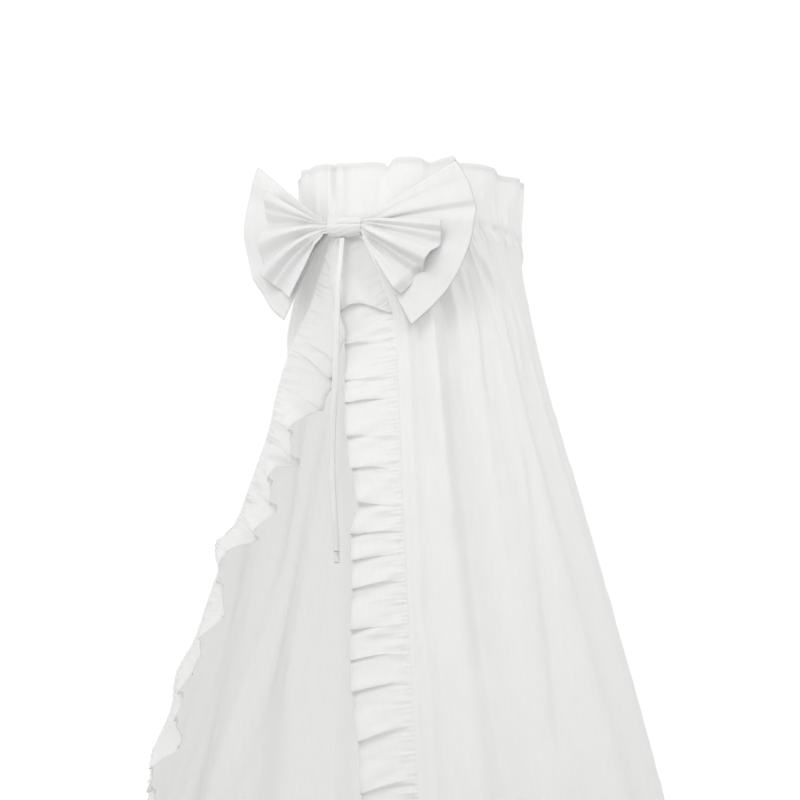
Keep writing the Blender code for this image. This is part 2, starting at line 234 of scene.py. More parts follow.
# the curtain: its outline in plan by height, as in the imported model
curtain = {
    "headingTop": 0.098,
    "hem": -1.45,
    "flatWidth": 2.3,
    "headingColumns": 880,
    "lowerColumns": 440,
    # height, half width, half depth, left and right edge in degrees from the front,
    # and how far the left edge swings out
    "levels": [
        (-1.45, 0.53, 0.37, -59, 42, 0.05), (-1.1, 0.462, 0.324, -57, 38.5, 0.046),
        (-0.78, 0.378, 0.272, -54, 35, 0.04), (-0.54, 0.306, 0.235, -50, 32.2, 0.028),
        (-0.37, 0.254, 0.208, -44.5, 29.9, 0.013), (-0.25, 0.215, 0.189, -37, 28.2, 0.004),
        (-0.15, 0.188, 0.175, -30.5, 26.2, 0), (-0.1, 0.177, 0.17, -23, 21.5, 0),
        (-0.055, 0.169, 0.1665, -16, 15.3, 0), (-0.02, 0.165, 0.1645, -8, 8.5, 0),
        (0, 0.164, 0.164, -1.6, 2.2, 0), (0.01, 0.1645, 0.1645, -0.6, 0.6, 0),
        (0.098, 0.167, 0.167, -0.6, 0.6, 0),
    ],
    # ridges and valleys from the right front edge (0) round the back to the left one (1)
    "folds": [
        (0, 0), (0.022, -0.004), (0.05, 0.007), (0.076, -0.009), (0.108, 0.004), (0.14, -0.002),
        (0.165, 0.004), (0.19, -0.005), (0.225, 0.001), (0.255, -0.007), (0.29, 0.001), (0.325, -0.008),
        (0.36, 0.006), (0.392, -0.008), (0.43, 0.01), (0.462, -0.007), (0.498, 0.009), (0.535, -0.01),
        (0.568, 0.007), (0.602, -0.008), (0.64, 0.011), (0.676, -0.008), (0.708, 0.006), (0.742, -0.01),
        (0.78, 0.009), (0.812, -0.007), (0.846, 0.01), (0.882, -0.009), (0.914, 0.006), (0.948, -0.007),
        (0.974, -0.009), (1, 0),
    ],
    # how far the left front edge wanders out at each height, over the last part of the cloth
    "edgeWander": [
        (-1.45, 0.004), (-1.37, 0.012), (-1.3, 0), (-1.23, 0.013), (-1.14, 0), (-1.06, 0.012),
        (-0.97, -0.002), (-0.89, 0.013), (-0.81, 0), (-0.74, 0.012), (-0.68, 0.004), (-0.63, 0.013),
        (-0.605, 0.008), (-0.58, 0.001), (-0.48, 0.001), (-0.472, 0.003), (-0.461, 0.014), (-0.443, 0.019),
        (-0.425, 0.004), (-0.4, 0), (-0.31, 0.002), (-0.28, 0.004), (-0.24, 0.01), (-0.2, 0.012),
        (-0.16, 0.008), (-0.11, 0),
    ],
    "wanderStart": 0.955,
    "foldShares": [(-1.45, 1.7), (-0.78, 1.35), (-0.36, 1.0), (-0.14, 0.75), (-0.05, 0.35), (0.0, 0.0)],
    "flareStart": 0.9,
    # gathers at the hoop line: pitch round the ring, depth, how soon they fade, where they start, seed
    "gathers": [
        (0.0082, 0.0021, 0.034, 0, 11), (0.016, 0.0026, 0.085, 0.006, 12), (0.031, 0.0034, 0.21, 0.03, 13),
    ],
    # single folds: height and share where one starts, then where it ends, its half width
    # and how far it stands out
    "singleFolds": [
        (-0.06, 0.0145, -0.9, 0.0165, 0.006, 0.0056), (-0.09, 0.031, -0.33, 0.035, 0.0075, -0.0056),
        (-0.09, 0.053, -0.42, 0.053, 0.008, 0.0056), (-0.1, 0.078, -0.19, 0.078, 0.006, -0.005),
        (-0.07, 0.097, -0.26, 0.088, 0.0055, 0.0052), (-0.07, 0.112, -0.14, 0.114, 0.0075, -0.0046),
        (-0.08, 0.134, -0.23, 0.123, 0.0045, -0.0056), (-0.02, 0.158, -0.14, 0.191, 0.006, 0.0056),
        (-0.02, 0.207, -0.19, 0.192, 0.006, 0.0056), (-0.35, 0.159, -0.7, 0.124, 0.0065, -0.006),
        (-0.24, 0.074, -0.6, 0.072, 0.01, -0.006), (-0.54, 0.018, -0.556, 0.018, 0.005, -0.005),
        (-0.23, 0.11, -0.45, 0.101, 0.009, 0.004), (-0.17, 0.915, -0.39, 0.915, 0.033, -0.007),
        (-0.26, 0.785, -0.95, 0.868, 0.008, 0.007), (-0.26, 0.77, -0.95, 0.852, 0.008, -0.007),
        (-0.3, 0.761, -0.66, 0.787, 0.006, 0.005), (-0.3, 0.749, -0.66, 0.774, 0.006, -0.005),
        (-0.4, 0.862, -0.95, 0.905, 0.009, 0.006),
    ],
    # the heading's folds by degrees from the front: how far each stands out at its top
    "headingFolds": [
        (-180, 0.003), (-168, -0.004), (-153, 0.004), (-139, -0.003), (-124, 0.005), (-108, -0.004),
        (-92, 0.003), (-76, -0.004), (-60, 0.003), (-46, -0.002), (-37, 0.003), (-30, -0.002), (-22, 0.002),
        (-15, 0.001), (-11.2, 0.002), (-8.8, -0.0065), (-6.2, 0.004), (3, 0.001), (12, 0.003), (20, -0.003),
        (25, 0.002), (38, 0.003), (42, -0.002), (47, 0.002), (54, 0.003), (59, -0.004), (70, 0.003),
        (80, -0.0055), (95, 0.0055), (112, -0.003), (128, 0.004), (143, -0.004), (160, 0.004),
        (172, -0.003), (180, 0.003),
    ],
    # the heading's top edge in degrees from the front: how high it stands there
    "topEdge": [
        (-180, 0.098), (-150, 0.101), (-128, 0.094), (-104, 0.1), (-80, 0.093), (-60, 0.101), (-39, 0.102),
        (-28.8, 0.1007), (-18.9, 0.0985), (-5.6, 0.093), (7.4, 0.0892), (19.4, 0.0868), (21.6, 0.0812),
        (24.4, 0.0902), (27.8, 0.0935), (37.5, 0.0915), (42.4, 0.0865), (47.4, 0.0912), (53.5, 0.0965),
        (57.8, 0.09), (66.3, 0.0912), (76, 0.09), (83.6, 0.085), (93, 0.0862), (108.3, 0.09), (130, 0.099),
        (152, 0.093), (180, 0.098),
    ],
    "hemDepth": 0.026,
    "headingHemDepth": 0.01,
    "foldGap": 0.0011,
    # height, and how far apart the rows of the mesh are there
    "rowSteps": [(0.0, 0.0016), (0.012, 0.0019), (0.05, 0.0043), (0.2, 0.0095), (0.7, 0.02), (1.5, 0.024)],
    "fineAbove": -0.105,
    "singleFade": 0.022,
    "endShare": 0.012,
    # the gathers are calm near the front edges: over what share and height
    "calm": (0.05, 0.045),
    # they fade this many times sooner upwards
    "fadeUp": 4.5,
    # how deep the tie line draws the cloth in, and its half width
    "tieLine": (0.0022, 0.0042),
    # height, half width and share of the puffs below and above the tie line
    "puffs": [(-0.014, 0.009, 1.0), (0.013, 0.008, 0.8)],
    "puffDepth": 0.003,
    # how many degrees the heading's folds lean, from where and to where, each with its run-out
    "headingLean": (7.0, 60, 20, 110, 12),
    # long soft unevenness: depth, slant, stretch, size, seed, and how far down it is full
    "unevenness": [(0.0012, 0.35, 1.0, 0.085, 31, 0.2), (0.0005, -0.2, 0.6, 0.03, 32, 0.1)],
    # the angle that the cloth goes round, in radians
    "wrap": 4.5,
    # the front seams' gathers: depth, pitch, seed, and how far they reach in
    "seamGathers": [(0.0011, 0.0085, 25), (0.0008, 0.021, 26)],
    "seamReach": 0.011,
    # the groove beside the seams: depth, distance from the edge, half width
    "seamGroove": (0.0024, 0.0095, 0.0045),
    # in the heading the right edge laps over the left one: each edge's turn in degrees and its lift
    "lap": {"share": 0.03, "height": 0.012, "right": (1.6, 0.0018), "left": (1.5, 0.0022)},
}


def levelAt(z, column):
    return curveTable(z, curtain["levels"], column)


def clothOutline(at, z):
    # the curtain's smooth form before its gathers: place on the cloth and height, both arrays
    right, left = levelAt(z, 4), levelAt(z, 3)
    angle = np.radians(right + at * (360.0 + left - right))
    width, depth = levelAt(z, 1), levelAt(z, 2)
    radius = width * depth / np.hypot(depth * np.sin(angle), width * np.cos(angle))
    share = easedTable(np.minimum(z, 0.0), curtain["foldShares"])
    radius = radius + easedTable(at, curtain["folds"]) * share
    radius = radius + levelAt(z, 5) * lastPart(at, curtain["flareStart"])
    wander = curveTable(z, curtain["edgeWander"])
    radius = radius + wander * lastPart(at, curtain["wanderStart"])
    return angle, radius


def clothPoint(at, z):
    at, z = np.broadcast_arrays(np.asarray(at, float), np.asarray(z, float))
    angle, radius = clothOutline(at, z)
    return np.stack([radius * np.sin(angle), -radius * np.cos(angle), z], axis=-1)


def clothSurface(at, z, layer):
    # layer is 0 on the outside and 1 on the part that is turned in at a hem
    angle, radius = clothOutline(at, z)
    fall = np.maximum(-z, 0.0)
    rise = np.maximum(z, 0.0) / curtain["headingTop"]
    ends = endsEased(at, curtain["endShare"])
    calmShare, calmHeight = curtain["calm"]
    calm = 1 - (1 - endsEased(at, calmShare)) * bell(z, calmHeight)
    out = np.zeros_like(z)
    for pitch, depth, fade, start, seed in curtain["gathers"]:
        # ridges sharper than valleys
        wave = ripple(at, pitch, seed)
        wave = 0.75 * wave + 0.25 * (2 * wave * wave - 1)
        distance = np.where(z > 0, curtain["fadeUp"] * z, fall)
        grow = easeStep((distance + 0.0001) / start) if start else 1.0
        out = out + depth * wave * np.exp(-distance / fade) * grow
    depth, half = curtain["tieLine"]
    out = out - depth * bell(z, half)
    puffs = sum(share * bell(z - height, half) for height, half, share in curtain["puffs"])
    out = out + curtain["puffDepth"] * (0.6 + 0.4 * ripple(at, 0.045, 21)) * puffs
    # folds of the heading, leaning a little as they rise
    degrees = np.degrees((angle + math.pi) % math.tau - math.pi)
    lean, start, startRun, end, endRun = curtain["headingLean"]
    lean = lean * rise * easeStep((degrees - start) / startRun) * easeStep((end - degrees) / endRun)
    standing = easedTable(degrees - lean, curtain["headingFolds"]) + 0.0005 * ripple(at, 0.03, 23)
    out = out + standing * easeStep(rise * 1.3) * (z > 0)
    u = at * curtain["flatWidth"]
    for depth, slant, stretch, size, seed, full in curtain["unevenness"]:
        out = out + depth * softNoise(u + slant * z, z * stretch, size, seed) * easeStep(fall / full)
    for high, start, low, end, half, stand in curtain["singleFolds"]:
        down = np.clip((z - high) / (low - high), 0, 1)
        beyond = np.maximum(z - high, 0) + np.maximum(low - z, 0)
        fold = stand * bell(at - start - (end - start) * down, half)
        out = out + fold * bell(beyond, curtain["singleFade"])
    # the seam pulls on the front edges
    fromEdge = np.minimum(at, 1 - at) * curtain["wrap"] * radius
    pull = sum(depth * ripple(z, pitch, seed) for depth, pitch, seed in curtain["seamGathers"])
    depth, away, half = curtain["seamGroove"]
    seamed = pull * bell(fromEdge, curtain["seamReach"]) - depth * bell(fromEdge - away, half)
    out = out + seamed * easeStep((fall - 0.02) / 0.04)
    radius = radius + out * ends * calm
    top = curveTable(degrees, curtain["topEdge"])
    height = np.where(z > 0, z * (1 + (top / curtain["headingTop"] - 1) * easeStep(rise)), z)
    lap = curtain["lap"]
    lapped = easeStep(z / lap["height"])
    for key, sign, fromSide in (("right", 1, at), ("left", -1, 1 - at)):
        turn, lift = lap[key]
        near = lapped * easeStep((lap["share"] - fromSide) / lap["share"])
        angle = angle - sign * math.radians(turn) * near
        radius = radius + sign * lift * near
    radius = radius - curtain["foldGap"] * layer
    return np.stack([radius * np.sin(angle), -radius * np.cos(angle), height], axis=-1)


def makeCurtain():
    top, hem = curtain["headingTop"], curtain["hem"]
    # rows from the turned-in top, over the edge, down to the hem and up again inside
    turnedIn = [top - curtain["headingHemDepth"] + 0.0025 * k for k in range(4)]
    rows = [(z, 1.0) for z in turnedIn] + [(top - 0.0006, 0.95), (top, 0.5)]
    z = top - 0.0008
    heights = []
    while z > hem + 0.001:
        heights.append(z)
        z -= np.interp(abs(z), *zip(*curtain["rowSteps"]))
    rows += [(z, 0.0) for z in heights] + [(hem + 0.0009, 0.02), (hem, 0.5), (hem + 0.0009, 0.98)]
    hemTop = hem + curtain["hemDepth"]
    rows += [(hem + 0.006, 1.0), (hem + 0.014, 1.0), (hemTop - 0.003, 1.0), (hemTop, 0.85)]
    # the columns are fine down to just below the tie line
    split = max(i for i, row in enumerate(rows) if row[0] > curtain["fineAbove"] and row[1] == 0.0)
    fine, coarse = curtain["headingColumns"], curtain["lowerColumns"]
    counts = [fine if i <= split else coarse for i in range(len(rows))]
    blocks, flats, starts = [], [], []
    total = 0
    length = 0.0
    previous = rows[0][0]
    for (z, layer), count in zip(rows, counts):
        at = np.linspace(0, 1, count + 1)
        blocks.append(clothSurface(at, np.full(count + 1, z), layer))
        length += abs(z - previous)
        previous = z
        flats.append(np.stack([at * curtain["flatWidth"], np.full(count + 1, -length)], axis=-1))
        starts.append(total)
        total += count + 1
    vertices = np.concatenate(blocks)
    flat = np.concatenate(flats)
    faces = []
    for i in range(len(rows) - 1):
        a, b = starts[i], starts[i + 1]
        if counts[i] == counts[i + 1]:
            k = np.arange(counts[i])
            quads = np.stack([a + k, b + k, b + k + 1, a + k + 1], axis=-1)
            faces += quads.tolist()
        else:
            # two columns above run into one below
            for k in range(counts[i + 1]):
                faces.append([a + 2 * k, b + k, a + 2 * k + 1])
                faces.append([a + 2 * k + 1, b + k, b + k + 1, a + 2 * k + 2])
    mesh = bpy.data.meshes.new("curtain")
    mesh.from_pydata(vertices.tolist(), [], faces)
    mesh.polygons.foreach_set("use_smooth", np.ones(len(mesh.polygons), bool))
    layer = mesh.uv_layers.new(name="cloth")
    loops = np.empty(len(mesh.loops), int)
    mesh.loops.foreach_get("vertex_index", loops)
    layer.data.foreach_set("uv", np.ascontiguousarray(flat[loops], float).ravel())
    mesh.update()
    return addObject("curtain", mesh)


curtainPiece = makeCurtain()
print("curtain made", len(curtainPiece.data.polygons))


# ruffles: cut longer than the front edges, gathered and sewn to them
ruffles = {
    "top": -0.003,
    "rows": 1100,
    "across": 30,
    "seamGap": 0.0009,
    "flatWidth": 0.078,
    # flat cloth for each length of edge
    "fullness": 2.0,
    # the free edge is turned under: share of its depth, how far back it lies, how far on when flat
    "turned": [(0.45, -0.0004, 0.0006), (0.9, 0.0012, 0.0018), (1.0, 0.0035, 0.004), (0.95, 0.0055, 0.006)],
    "turnedDepth": 0.001,
    # gathers that run out from the seam: pitch, slant, how soon they fade, depth, where they are full
    "gathers": [(0.0075, 0.0, 0.2, 0.0013, 0.04), (0.0155, 0.01, 0.42, 0.0015, 0.1)],
    # longer ones that reach the free edge: pitch, slant, depth, where they are full
    "rays": (0.03, -0.018, 0.0016, 0.25),
    "right": {
        "edge": 0.0,
        # height and width there
        "widths": [
            (-1.45, 0.078), (-0.62, 0.077), (-0.43, 0.074), (-0.39, 0.06), (-0.3, 0.072), (-0.2, 0.08),
            (-0.16, 0.078), (-0.12, 0.07), (-0.05, 0.068), (-0.01, 0.06),
        ],
        # height and how many degrees the ruffle leans inwards there
        "leans": [
            (-1.45, 0), (-0.42, 0), (-0.28, 4), (-0.235, 8), (-0.16, 15), (-0.1, 6), (-0.022, -2),
        ],
        # height of each fold's shadow line, how far the fold above it stands out,
        # how much it drops to the seam, and how much it arches between
        "folds": [
            (-0.04, 0.003, 0), (-0.101, 0.016, 0.048, 0.02), (-0.163, 0.006, 0.026, 0.004),
            (-0.217, 0.006, 0.014), (-0.246, 0.009, 0.012), (-0.3, 0.006, 0.012), (-0.342, 0.01, 0.016),
            (-0.392, 0.009, 0.024), (-0.432, 0.01, 0.014), (-0.468, 0.008, 0.006), (-0.505, 0.01, 0.004),
            (-0.562, 0.01, 0.01), (-0.6, 0.008, 0.004), (-0.64, 0.01, 0.004),
        ],
        "pitch": 0.052,
        "depth": 0.0085,
        "pucker": 1.1,
        "crumple": 0.0006,
        "seed": 41,
    },
    "left": {
        "edge": 1.0,
        "widths": [
            (-1.45, 0.078), (-0.62, 0.076), (-0.43, 0.074), (-0.3, 0.078), (-0.2, 0.078), (-0.09, 0.064),
            (-0.022, 0.034),
        ],
        "leans": [
            (-1.45, 10), (-1.395, 2), (-1.345, 24), (-1.325, 4), (-1.27, -2), (-1.215, 27), (-1.2, 6),
            (-1.14, 0), (-1.085, 26), (-1.07, 4), (-1.01, -4), (-0.95, 24), (-0.935, 4), (-0.88, 0),
            (-0.82, 28), (-0.805, 6), (-0.755, -2), (-0.7, 22), (-0.685, 4), (-0.64, 6), (-0.6, 10),
            (-0.57, -2), (-0.54, 10), (-0.521, 18), (-0.51, 10), (-0.495, 3), (-0.475, -6), (-0.458, -2),
            (-0.44, 14), (-0.427, 12), (-0.413, 23), (-0.4, 14), (-0.381, 25), (-0.362, 21), (-0.34, 9),
            (-0.316, 7), (-0.307, 31), (-0.29, 20), (-0.275, 12), (-0.26, 9), (-0.247, 24), (-0.224, 60),
            (-0.2, 62), (-0.165, 53), (-0.135, 44), (-0.1, 40), (-0.022, 26),
        ],
        "folds": [
            (-0.04, 0.003, 0), (-0.118, 0.009, -0.002), (-0.158, 0.006, -0.008), (-0.18, 0.008, -0.014),
            (-0.236, 0.007, -0.012), (-0.27, 0.006, 0), (-0.3, 0.006, 0), (-0.338, 0.007, 0),
            (-0.37, 0.006, 0), (-0.415, 0.007, 0), (-0.44, 0.006, 0), (-0.492, 0.007, 0),
        ],
        "pitch": 0.034,
        "depth": 0.006,
        "pucker": 2.0,
        "crumple": 0.0014,
        "seed": 42,
    },
}


def edgeFrame(edge, z):
    # the curtain's front edge: its points, the way out of the cloth and the inward normal
    step = 0.004 if edge < 0.5 else -0.004
    point = clothPoint(edge, z)
    along = unit(clothPoint(edge, z + 0.012) - clothPoint(edge, z - 0.012))
    out = point - clothPoint(edge + step, z)
    out = unit(out - along * np.sum(along * out, axis=-1, keepdims=True))
    normal = np.cross(out, along) if edge < 0.5 else np.cross(along, out)
    return point, out, unit(normal)


def foldRows(side):
    # the table's folds, then more of the same kind down to the hem
    draw = np.random.default_rng(side["seed"])
    rows = list(side["folds"])
    while rows[-1][0] > curtain["hem"] + 0.02:
        line = rows[-1][0] - side["pitch"] * draw.uniform(0.65, 1.35)
        depth = side["depth"] * draw.uniform(0.75, 1.15)
        rows.append((line, depth, draw.uniform(-0.01, 0.016)))
    return np.array([(*row, 0.0)[:4] for row in rows]).T


def rufflePoint(side, z, across):
    top, hem, seed = ruffles["top"], curtain["hem"], side["seed"]
    lines, depths, drops, arches = foldRows(side)
    point, out, normal = edgeFrame(side["edge"], z)
    width = curveTable(z, side["widths"]) * (1 + 0.04 * np.sin((top - z) / 0.043))
    lean = np.radians(curveTable(z, side["leans"]))
    # which fold a point is on: 0 just under a shadow line, 1 at the next one
    slanted = z + np.interp(-z, -lines, drops) * (1 - across)
    slanted = slanted - np.interp(-z, -lines, arches) * np.sin(math.pi * across) ** 0.8
    i = np.clip(np.searchsorted(-lines, -slanted) - 1, 0, len(lines) - 2)
    part = np.clip((lines[i] - slanted) / (lines[i] - lines[i + 1]), 0, 1)
    foldDepth = depths[i + 1]
    swell = easeStep(part / 0.8) ** 0.85 * (1 - easeStep((part - 0.84) / 0.16))
    arched = np.clip(arches[i + 1] / 0.012, 0, 1)
    flute = foldDepth * (swell - 0.32) * across ** (1.15 - 0.8 * arched)
    secondWave = np.sin(math.tau * part * 1.5 + 1.0) * across ** 1.6 * endsEased(part, 0.2)
    flute = flute + 0.25 * foldDepth * secondWave
    s = top - z
    gathers = 0.0
    for k, (pitch, slant, fade, depth, full) in enumerate(ruffles["gathers"]):
        wave = ripple(s + slant * across, pitch, seed + 10 + k)
        gathers = gathers + wave * np.exp(-across / fade) * depth * easeStep(across / full)
    pitch, slant, depth, full = ruffles["rays"]
    rays = ripple(s + slant * across, pitch, seed + 12) * depth * easeStep(across / full)
    crumple = side["crumple"] * softNoise(s + 0.3 * across * width, across * width, 0.016, seed + 13)
    start = 0.35 + 0.65 * easeStep(s / 0.14)
    lift = (flute + gathers * side["pucker"] + rays + crumple * easeStep(across / 0.2)) * start
    reach = width * across * np.sqrt(np.maximum(1 - (lift / 0.06) ** 2, 0.5))
    place = point + out * (ruffles["seamGap"] + reach * np.cos(lean))[..., None]
    place = place + normal * (reach * np.sin(lean) - lift)[..., None]
    ends = easeStep(s / 0.05) * easeStep((z - hem) / 0.05)
    sag = 1.15 * np.maximum(flute, -0.004) + 0.006 * across ** 2
    place[..., 2] -= sag * ends * start
    return place


def makeRuffle(name, side):
    count, across, flatWidth = ruffles["rows"], ruffles["across"], ruffles["flatWidth"]
    z = np.linspace(ruffles["top"], curtain["hem"], count + 1)
    # the first columns are narrow, for the seam's gathers
    t = np.concatenate([np.linspace(0, 0.12, 5)[:-1], np.linspace(0.12, 1.0, across - 3)])
    acrossGrid, heightGrid = np.meshgrid(t, z)
    points = rufflePoint(side, heightGrid, acrossGrid)
    normal = sheetNormal(points)
    if side["edge"] > 0.5:
        normal = -normal
    inward = unit(points[:, -2] - points[:, -1])
    under = [
        points[:, -1] - normal[:, -1] * ruffles["turnedDepth"] * share + inward * back
        for share, back, _ in ruffles["turned"]
    ]
    points = np.concatenate([points, np.stack(under, axis=1)], axis=1)
    u = np.concatenate([t * flatWidth, flatWidth + np.array([row[2] for row in ruffles["turned"]])])
    v = (ruffles["top"] - z) * ruffles["fullness"]
    flat = np.stack(np.meshgrid(u, v), axis=-1).reshape(-1, 2)
    quads = quadsOf(np.arange(len(flat)).reshape(points.shape[:2]))
    return facesToMesh(name, points.reshape(-1, 3), quads, flat)


rightRuffle = makeRuffle("ruffle-right", ruffles["right"])
leftRuffle = makeRuffle("ruffle-left", ruffles["left"])
print("ruffles made", len(rightRuffle.data.polygons))


# the double bow and its knot
knot = {
    "half": 0.03, "height": 0.0285, "depth": 0.0165, "wall": 0.0018,
    "middle": 0.003, "lift": -0.0035, "roll": 4.0, "tilt": 0.12,
    # the band's own fold: depth, how far above its middle, half width
    "fold": (0.0011, 0.22, 0.13),
    # how much narrower its ends are, and where that starts
    "pinch": (0.34, 0.86),
    "facesAround": 120, "facesAlong": 64,
}

bow = {
    "knotY": -0.174,
    "knotHalf": 0.033,
    "sweep": (0.02, 0.055),
    "sweepPower": 1.4,
    "hang": 0.09,
    "reach": 0.16,
    "bundle": 0.0165,
    # fine creases that run out from the knot: depth, pitch in degrees, shift on the right, seed,
    # where they are full, how soon they fade
    "creases": [(0.0005, 8.0, 40, 61, 0.08, 0.35), (0.0004, 17.0, 60, 63, 0.2, math.inf)],
    # the front bow's lower right end turns back: between which angles, each with its run-out,
    # how deep, and from how far out
    "turnedEnd": {"upper": (-37, 5), "lower": (-63, 4), "depth": 0.012, "start": 0.9},
    "back": {
        "layer": 0,
        # angle above the level in degrees, how far out the edge lies, ridge (+) or valley (-)
        "left": [
            (-61, 0.145, 0.2), (-50, 0.144, 0.6), (-35.7, 0.1444, -0.4), (-22, 0.15, 0.5),
            (-10.9, 0.155, -0.2), (7.4, 0.166, 0.4), (22.6, 0.17, -0.2), (32, 0.173, 0.5),
            (39.5, 0.1775, 0.1),
        ],
        "right": [
            (-64, 0.1705, 0.1), (-54.4, 0.1652, 0.4), (-41, 0.1584, -0.4), (-31.6, 0.1558, 0.4),
            (-15.1, 0.151, -0.2), (-2, 0.1516, 0.4), (5.5, 0.1522, -0.7), (9.5, 0.1525, 0.4),
            (20.9, 0.1511, -0.1), (26, 0.1508, 0.2), (32.5, 0.1504, 0.1),
        ],
        "depth": 0.004,
        "dome": 0.006,
    },
    "front": {
        "layer": 1,
        "left": [
            (-64, 0.1112, 0.2), (-57, 0.1106, -0.5), (-50, 0.1115, -1.3), (-41, 0.114, -0.4),
            (-32, 0.1185, 1.1), (-28, 0.1195, 1), (-20, 0.119, -1.1), (-5, 0.1157, 0.9), (0, 0.1152, 0.8),
            (10, 0.112, -1.5), (20, 0.115, -0.2), (29, 0.1185, 1.1), (33.5, 0.119, 1.1),
        ],
        "right": [
            (-60, 0.1268, 0.5), (-54, 0.123, 0.1), (-46, 0.119, -1.3), (-39, 0.1198, -0.4),
            (-31, 0.1205, 1.2), (-27, 0.1204, 1.1), (-20, 0.1198, -1.2), (-13, 0.1192, -0.4),
            (-7, 0.1198, 0.9), (-4, 0.1198, 1),
        ],
        "depth": 0.007,
        "dome": 0.008,
    },
    "thickness": 0.002,
    "flatHeight": 0.24,
    # from the back bow to the front one, at the knot and further out
    "spacing": (0.008, 0.0165),
    "steps": 84,
    "rows": 150,
}


def bowPlane(x, z):
    far = np.maximum(0.0, (np.abs(x) - bow["knotHalf"]) / bow["reach"])
    sweep = np.where(x > 0, bow["sweep"][1], bow["sweep"][0]) * far ** bow["sweepPower"]
    return bow["knotY"] + sweep - bow["hang"] * np.maximum(0.0, -z) * easeStep(far * 3)


def wingPoint(wing, along, row):
    # along runs from -2 at the left tip to 2 at the right one, row from 0 at the top to 1 at the bottom
    side = easeStep((np.clip(along, -1, 1) + 1) / 2)
    values = []
    for key in ("left", "right"):
        table = wing[key]
        angle = table[-1][0] + (table[0][0] - table[-1][0]) * row
        values.append((angle, curveTable(angle, table, 1), easedTable(angle, table, 2)))
    angle = values[0][0] + (values[1][0] - values[0][0]) * side
    reach = np.where(along > 0, values[1][1], values[0][1])
    pleat = values[0][2] + (values[1][2] - values[0][2]) * side
    out = np.maximum(0.0, np.abs(along) - 1)
    middle = (0.5 - row) * bow["bundle"]
    spread = easeStep(out * 6) * out
    turn = np.radians(angle)
    startX = np.minimum(np.abs(along), 1.0) * bow["knotHalf"]
    x = startX + (bow["knotHalf"] - startX) * spread + np.cos(turn) * reach * out
    level = knot["lift"] - np.sign(along) * startX * math.tan(math.radians(knot["roll"]))
    z = (middle + level) * (1 - spread) + np.sin(turn) * reach * out
    x = np.sign(along) * x
    shallow = 0.0008
    depth = shallow + (wing["depth"] - shallow) * easeStep(out * 3.0) * (0.75 + 0.25 * out)
    forward = depth * pleat
    # the loop is full in the middle
    forward = forward + wing["dome"] * np.sin(np.pi * out) ** 1.2 * (1 - (2 * row - 1) ** 2)
    for depth, pitch, shift, seed, full, fade in bow["creases"]:
        crease = depth * ripple(angle + shift * (along > 0), pitch, seed + wing["layer"])
        forward = forward + crease * np.exp(-out / fade) * easeStep(out / full)
    end = bow["turnedEnd"]
    (upper, upperRun), (lower, lowerRun) = end["upper"], end["lower"]
    turned = easeStep((upper - angle) / upperRun) * easeStep((angle - lower) / lowerRun)
    turned = turned * lastPart(out, end["start"]) * (along > 0)
    near, far = bow["spacing"]
    forward = forward + wing["layer"] * (near + (far - near) * easeStep(out * 5) - end["depth"] * turned)
    y = bowPlane(x, z) - forward + near / 2
    return np.stack([x, y, z], axis=-1)


def makeWing(name, wing):
    half = np.concatenate([[0.0, 0.5], np.linspace(1, 2, bow["steps"] + 1)])
    along, row = np.meshgrid(np.concatenate([-half[:0:-1], half]), np.linspace(0, 1, bow["rows"] + 1))
    flat = np.stack([along * bow["reach"], row * bow["flatHeight"]], axis=-1)
    return doubleCloth(name, wingPoint(wing, along, row), flat, bow["thickness"])


backBow = makeWing("bow-back", bow["back"])
frontBow = makeWing("bow-front", bow["front"])


def makeKnot():
    # a band wrapped round both bows, pinched at its two ends
    around, long = knot["facesAround"], knot["facesAlong"]
    turn = np.linspace(0, math.tau, around + 1)[None, :]
    x = np.linspace(-1, 1, long + 1)[:, None]
    full = 0.88 + 0.12 * np.cos(x * math.pi / 2)
    crease = 0.00045 * ripple(turn + 0.3 * np.sin(2.2 * x), 0.55, 71)
    crease = crease + 0.0003 * ripple(turn - 0.5 * x, 0.3, 72)
    crease = crease * (0.5 + 0.5 * np.sin(turn) ** 2)
    depth, above, half = knot["fold"]
    fold = depth * bell(np.sin(turn) - above + 0.1 * x, half) * (np.cos(turn) < 0)
    z = np.sin(turn) * (knot["height"] / 2 * full + crease)
    y = np.cos(turn) * (knot["depth"] / 2 + crease - fold) - knot["tilt"] * z * (0.5 - 0.5 * np.cos(turn))
    points = np.stack(np.broadcast_arrays(x * knot["half"], y, z), axis=-1)
    pinch, start = knot["pinch"]
    points[..., 1:] *= (1 - pinch * np.clip((np.abs(x) - start) / (1 - start), 0, 1) ** 2)[..., None]
    points[:, -1] = points[:, 0]
    roll = Matrix.Rotation(math.radians(knot["roll"]), 3, "Y")
    points = points @ np.array(roll).T + np.array([knot["middle"], bow["knotY"], knot["lift"]])
    index = np.arange((long + 1) * around).reshape(long + 1, around)
    wrapped = np.concatenate([index, index[:, :1]], axis=1)
    flat = np.stack(np.broadcast_arrays(x * 0.033, turn[:, :-1] * 0.011), axis=-1).reshape(-1, 2)
    made = facesToMesh("bow-knot", points[:, :-1].reshape(-1, 3), quadsOf(wrapped), flat)
    build = bmesh.new()
    build.from_mesh(made.data)
    bmesh.ops.recalc_face_normals(build, faces=build.faces)
    build.to_mesh(made.data)
    build.free()
    solid = made.modifiers.new("wall", "SOLIDIFY")
    solid.thickness = knot["wall"]
    solid.offset = -1
    return made


knotPiece = makeKnot()


